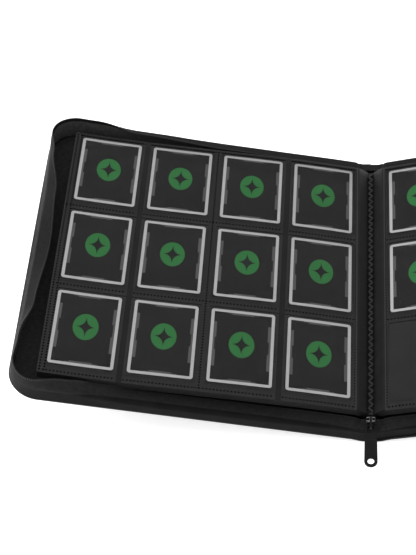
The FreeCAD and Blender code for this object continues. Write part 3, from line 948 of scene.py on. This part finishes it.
for side, sign in SIDES:
    for name, path, level, body in (
        ("weld_marks", top_path, SHEET_FACE + FILM_THICK + 2 * FILM_GAP, "_top_page"),
        ("back_weld_marks", top_path, SHEET_FACE - SHEET_THICK - FILM_GAP, "_top_page"),
        ("next_weld_marks", leaf_path(LEAF_PITCH), FILM_GAP, "_leaf_block"),
    ):
        marks = bmesh.new()
        edge = LEAF_HALF - WELD_INSET
        for y in (-edge, (ROWS[1] + ROWS[2]) / 2, (ROWS[0] + ROWS[1]) / 2, edge):
            for low, high, _ in PANELS:
                weld_row(marks, path, sign, (low + ROW_START, y), (high - ROW_STOP, y), level)
        for u in WELD_LINES:
            weld_row(marks, path, sign, (u, -edge), (u, edge), level)
        piece = show(marks, "%s_%s" % (side, name), weld_dent_shade)
        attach(piece, side + body)

# --- Cards and sleeves ----------------------------------------------------------------------
# Each pocket holds a placeholder card in a clear square-cornered sleeve: a pale border, a
# charcoal field with small stepped tabs at its edges, and a green disc with a star.

CARD_WIDE = 0.0635
CARD_HIGH = 0.0889
CARD_THICK = 0.0003
CARD_LEVEL = -0.00098
CARD_CORNER = 0.003
SLEEVE_WIDE = 0.0660
SLEEVE_HIGH = 0.0914
SLEEVE_THICK = 0.00012
# sizes of the print in millimetres
BORDER = 3.1
EMBLEM = 12.6
EMBLEM_TALL = 1.26
EMBLEM_UP = 3.0


def card_number(tree, value, op, other=None):
    """A number worked out from one or two others by a shader node."""
    inputs = {0: value}
    if other is not None:
        inputs[1] = other
    return add_node(tree, "Math", inputs, operation=op).outputs["Value"]


def inside_box(tree, x, y, low, high):
    """1 where x and y (mm) lie in a box, else 0."""
    middle = [(a + b) / 2 for a, b in zip(low, high)]
    half = [(b - a) / 2 for a, b in zip(low, high)]
    tests = []
    for value, centre, reach in zip((x, y), middle, half):
        off = card_number(tree, card_number(tree, value, "SUBTRACT", centre), "ABSOLUTE")
        tests.append(card_number(tree, off, "LESS_THAN", reach))
    return card_number(tree, tests[0], "MULTIPLY", tests[1])


def card_print_finish():
    """The card's print, drawn in millimetres from the card's middle."""
    made, tree, shader = new_finish("card_print", 0.32, Specular_IOR_Level=0.30)
    spot = add_node(tree, "UVMap", uv_map="card_mm").outputs["UV"]
    parts = add_node(tree, "SeparateXYZ", {"Vector": spot})
    x, y = (
        card_number(tree, card_number(tree, parts.outputs[axis], "SUBTRACT", 0.5), "MULTIPLY", 100.0)
        for axis in "XY"
    )
    mirrored = card_number(tree, x, "ABSOLUTE")
    edge_x, edge_y = CARD_WIDE * 500 - BORDER, CARD_HIGH * 500 - BORDER
    field = inside_box(tree, x, y, (-edge_x, -edge_y), (edge_x, edge_y))
    # stepped tabs at the field's edges, each a box by two corners
    tabs = None
    for low, high in (
        ((edge_x - 3.2, 9.5), (edge_x, 28.5)),
        ((edge_x - 1.8, -5.5), (edge_x, 9.5)),
        ((edge_x - 3.2, -25.5), (edge_x, -5.5)),
        ((-1.0, edge_y - 2.3), (11.0, edge_y)),
        ((-1.0, edge_y - 1.0), (16.0, edge_y)),
        ((-1.0, -edge_y), (11.0, 2.3 - edge_y)),
        ((-1.0, -edge_y), (16.0, 1.0 - edge_y)),
    ):
        one = inside_box(tree, mirrored, y, low, high)
        tabs = one if tabs is None else card_number(tree, tabs, "MAXIMUM", one)
    up = card_number(tree, card_number(tree, y, "SUBTRACT", EMBLEM_UP), "DIVIDE", EMBLEM_TALL)
    far = card_number(
        tree,
        card_number(
            tree, card_number(tree, x, "POWER", 2.0), "ADD", card_number(tree, up, "POWER", 2.0)
        ),
        "SQRT",
    )
    disc = card_number(tree, far, "LESS_THAN", EMBLEM)
    # four-pointed star: the sum of the square roots of both distances is small
    root_x = card_number(tree, mirrored, "SQRT")
    root_y = card_number(tree, card_number(tree, up, "ABSOLUTE"), "SQRT")
    root_sum = card_number(tree, root_x, "ADD", root_y)
    star = card_number(tree, root_sum, "LESS_THAN", math.sqrt(EMBLEM * 0.86))
    emblem = card_number(tree, disc, "SUBTRACT", star)
    emblem = card_number(tree, emblem, "MAXIMUM", 0.0)
    place = object_place(tree)
    fibre = add_node(tree, "TexNoise", {"Vector": place, "Scale": 900.0, "Detail": 3.0})
    colour = mottle(tree, shader, place, grey(0.44), grey(0.48), 500.0)
    for mask, shade in (
        (field, grey(0.0065)), (tabs, grey(0.085)), (emblem, (0.022, 0.155, 0.038)),
    ):
        # sockets of a colour mix: 0 is its factor, 6 and 7 its two colours, 2 its result
        colour = add_node(
            tree, "Mix", {0: mask, 6: colour, 7: (*shade, 1)}, data_type="RGBA"
        ).outputs[2]
    tree.links.new(colour, shader.inputs["Base Color"])
    emboss(tree, shader, fibre.outputs["Fac"], 0.00002, 0.3)
    return made


card_print = card_print_finish()
sleeve_film = clear_film("sleeve_film", 1.03, 0.15, 0.9)

for side, sign in SIDES:
    cards = bmesh.new()
    cards.loops.layers.uv.new("card_mm")
    sleeves = bmesh.new()
    for number, middle in enumerate(COLUMNS):
        for row_number, row in enumerate(ROWS):
            if side == "right" and row_number == 2 and number == 0:
                continue  # the one empty pocket
            one = block(
                (middle - CARD_WIDE / 2, row - CARD_HIGH / 2, CARD_LEVEL),
                (middle + CARD_WIDE / 2, row + CARD_HIGH / 2, CARD_LEVEL + CARD_THICK),
                corner=CARD_CORNER, round_all=True,
            )
            cuts = steps(middle - BEND_HALF, middle + BEND_HALF, 4)
            slice_at(one, 0, cuts)
            layer = one.loops.layers.uv.new("card_mm")
            for face in one.faces:
                for loop in face.loops:
                    x = (loop.vert.co.x - middle) * sign
                    loop[layer].uv = (0.5 + x * 10, 0.5 + (loop.vert.co.y - row) * 10)
            case = block(
                (middle - SLEEVE_WIDE / 2, row - SLEEVE_HIGH / 2, CARD_LEVEL - SLEEVE_THICK),
                (
                    middle + SLEEVE_WIDE / 2, row + SLEEVE_HIGH / 2,
                    CARD_LEVEL + CARD_THICK + SLEEVE_THICK,
                ),
            )
            slice_at(case, 0, cuts)
            for source, target in ((one, cards), (case, sleeves)):
                bend_onto(source, top_path, sign)
                append_mesh(target, source)
    piece = show(cards, side + "_card_set", card_print, flipped=sign < 0)
    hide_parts(side + "_cards")
    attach(piece, side + "_top_page")
    piece = show(sleeves, side + "_sleeve_set", sleeve_film, flipped=sign < 0)
    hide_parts(side + "_sleeves")
    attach(piece, side + "_top_page")

# --- Zip slider and pull -----------------------------------------------------------------------
# A cast slider with two flanged plates and a bridge stands nose up at the near end of
# the spine. The black enamelled pull hangs on the bridge by a round bar.

slider_metal, tree, shader = new_finish("slider_metal", Metallic=1.0)
place = object_place(tree)
mottle(tree, shader, place, grey(0.16), grey(0.24), 400.0)
roughness_drift(tree, shader, place, 0.22, 0.38, 500.0)
enamel, tree, shader = new_finish("pull_enamel", Specular_IOR_Level=0.12)
place = object_place(tree)
mottle(tree, shader, place, grey(0.004), grey(0.007), 120.0)
roughness_drift(tree, shader, place, 0.28, 0.44, 260.0)


# the plates: rounded corners, and lips turned in at both sides to hold the two tapes
slider_low, slider_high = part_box("zip_slider")
PLATE_THICK = 0.0010
PLATE_CORNER = 0.0012
LIP_WIDE = 0.0009
LIP_DEEP = 0.0009
LIP_START = 0.0042
half = (slider_high.z - slider_low.z) / 2
level = (slider_high.z + slider_low.z) / 2
slider = bmesh.new()
for back, toward in ((slider_high.y, -1), (slider_low.y, 1)):
    plate = block(
        (slider_low.x, -half, 0), (slider_high.x, half, PLATE_THICK),
        corner=PLATE_CORNER, rim=0.00022, round_all=True,
    )
    for side_sign in (-1, 1):
        edge = side_sign * slider_high.x
        lip = block(
            (min(edge, edge - side_sign * LIP_WIDE), -half + PLATE_CORNER, PLATE_THICK * 0.6),
            (max(edge, edge - side_sign * LIP_WIDE), half - LIP_START, PLATE_THICK + LIP_DEEP),
            corner=0.0003, rim=0.0002, round_all=True,
        )
        append_mesh(plate, lip)
    for v in plate.verts:
        v.co = Vector((v.co.x, back + toward * v.co.z, level + v.co.y))
    if toward > 0:
        bmesh.ops.reverse_faces(plate, faces=plate.faces[:])
    append_mesh(slider, plate)
bmesh.ops.recalc_face_normals(slider, faces=slider.faces[:])
# the post that joins the plates and parts the two rows of teeth
post = block(
    (-0.0014, slider_low.y + 0.0005, slider_high.z - 0.0032),
    (0.0014, slider_high.y - 0.0005, slider_high.z - 0.0004),
    corner=0.0006, rim=0.00025, round_all=True,
)
append_mesh(slider, post)
slider = show(slider, "slider_plates", slider_metal)
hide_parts("zip_slider")
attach(slider, "slider")

# the bridge: a strap bent over the pull's bar, its ends let into the plates
BRIDGE_HALF = 0.0011
BRIDGE_THICK = 0.0012
SHARP_TURN = 1.2
top = slider_high.z
outer = slider_low.y
bridge_line = [
    (slider_high.y - 0.0004, top - 0.0016), (slider_high.y - 0.0003, top + 0.0001),
    (slider_high.y - 0.0012, top + 0.0011), (outer + 0.0010, top + 0.0014),
    (outer - 0.0018, top + 0.0009), (outer - 0.0036, top - 0.0006), (outer - 0.0044, top - 0.0028),
    (outer - 0.0044, top - 0.0062), (outer - 0.0034, top - 0.0082), (outer - 0.0016, top - 0.0092),
    (outer + 0.0004, top - 0.0094),
]
bridge = bmesh.new()
bmesh.ops.create_grid(bridge, x_segments=1, y_segments=1, size=1.0)
face = bridge.faces[:][0]
for number, at in enumerate(bridge_line):
    at = Vector(at)
    before = Vector(bridge_line[max(0, number - 1)])
    after = Vector(bridge_line[min(len(bridge_line) - 1, number + 1)])
    run = (after - before).normalized()
    inside = Vector((run.y, -run.x)) * BRIDGE_THICK
    if number:
        made = bmesh.ops.extrude_face_region(bridge, geom=[face])
        old = face
        face = [f for f in made["geom"] if isinstance(f, bmesh.types.BMFace)][0]
        bmesh.ops.delete(bridge, geom=[old], context="FACES_ONLY")
    for v, (x, deep) in zip(face.verts, ((-1, 0), (1, 0), (1, 1), (-1, 1))):
        v.co = Vector((x * BRIDGE_HALF, at.x + deep * inside.x, at.y + deep * inside.y))
bmesh.ops.holes_fill(bridge, edges=bridge.edges[:], sides=0)
bmesh.ops.recalc_face_normals(bridge, faces=bridge.faces[:])
ease(bridge, [e for e in bridge.edges if e.calc_face_angle(0) > SHARP_TURN], 0.00028)
bridge = show(bridge, "slider_arch", enamel)
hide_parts("slider_bridge")
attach(bridge, "slider")

# the pull: a die-cast tab with a rounded window for its bar and a hole in its tail
PULL_RIM = 0.00060
PULL_SHOULDER = 0.0040
PULL_TAPER = 0.0006
WINDOW_HALF = 0.0036
WINDOW_LONG = 0.0090
WINDOW_CORNER = 0.0022
HOLE_RADIUS = 0.0032
BAR_RADIUS = 0.0009
pull_low, pull_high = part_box("zip_pull")
TAIL_HALF = pull_high.x
TOP_HALF = TAIL_HALF - PULL_TAPER


def arc(centre, radius, start, end, count):
    """Points on an arc between two angles in degrees."""
    turns = [math.radians(start + (end - start) * i / count) for i in range(count + 1)]
    return [(centre[0] + radius * math.cos(t), centre[1] + radius * math.sin(t)) for t in turns]


top, tail = pull_high.y, pull_low.y + TAIL_HALF
sill = top - 2 * BAR_RADIUS - WINDOW_LONG
inset = TOP_HALF - PULL_SHOULDER
opening = WINDOW_HALF - WINDOW_CORNER
loops = (
    arc((inset, top - PULL_SHOULDER), PULL_SHOULDER, 0, 90, 8)
    + arc((-inset, top - PULL_SHOULDER), PULL_SHOULDER, 90, 180, 8)
    + arc((0, tail), TAIL_HALF, 180, 360, 28),
    arc((opening, top - 2 * BAR_RADIUS - WINDOW_CORNER), WINDOW_CORNER, 0, 90, 7)
    + arc((-opening, top - 2 * BAR_RADIUS - WINDOW_CORNER), WINDOW_CORNER, 90, 180, 7)
    + [(-WINDOW_HALF, sill), (WINDOW_HALF, sill)],
    arc((0, tail), HOLE_RADIUS, 0, 345, 23),
)
pull = bmesh.new()
for loop in loops:
    ring = [pull.verts.new((x, y, pull_low.z)) for x, y in loop]
    for start, end in zip(ring, ring[1:] + ring[:1]):
        pull.edges.new((start, end))
bmesh.ops.triangle_fill(pull, use_beauty=True, use_dissolve=False, edges=pull.edges[:])
made = bmesh.ops.extrude_face_region(pull, geom=pull.faces[:])
for v in made["geom"]:
    if isinstance(v, bmesh.types.BMVert):
        v.co.z = pull_high.z
bmesh.ops.recalc_face_normals(pull, faces=pull.faces[:])
rims = [e for e in pull.edges if e.calc_face_angle(0) > SHARP_TURN and climb(e) < 1e-6]
ease(pull, rims, PULL_RIM, segments=3, clamp_overlap=True)
pull = show(pull, "pull_tab", enamel, 30)
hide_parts("zip_pull")
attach(pull, "pull")

# a stop clip closes the chain at each end of the spine
for name in ("zip_stop_near", "zip_stop_far"):
    low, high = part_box(name)
    stop = block(low, high, corner=0.0005, rim=0.0003, round_all=True)
    stop = show(stop, name.replace("zip_stop", "stop_clip"), enamel)
    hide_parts(name)
    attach(stop, "spine")

# --- Floor ------------------------------------------------------------------------------------
# A matt white sheet just below the album, which only the pictures need.

floor_paper, tree, shader = new_finish(
    "floor_paper", 0.9, Specular_IOR_Level=0.0, Emission_Color=(1, 1, 1, 1), Emission_Strength=0.6
)
mottle(tree, shader, object_place(tree), grey(0.93), grey(0.95), 3.0)
floor = bmesh.new()
bmesh.ops.create_grid(floor, x_segments=4, y_segments=4, size=6.0)
floor = show(floor, "floor", floor_paper)
floor.data.transform(Matrix.Translation((0, 0, cad_low.z - 0.0004)))
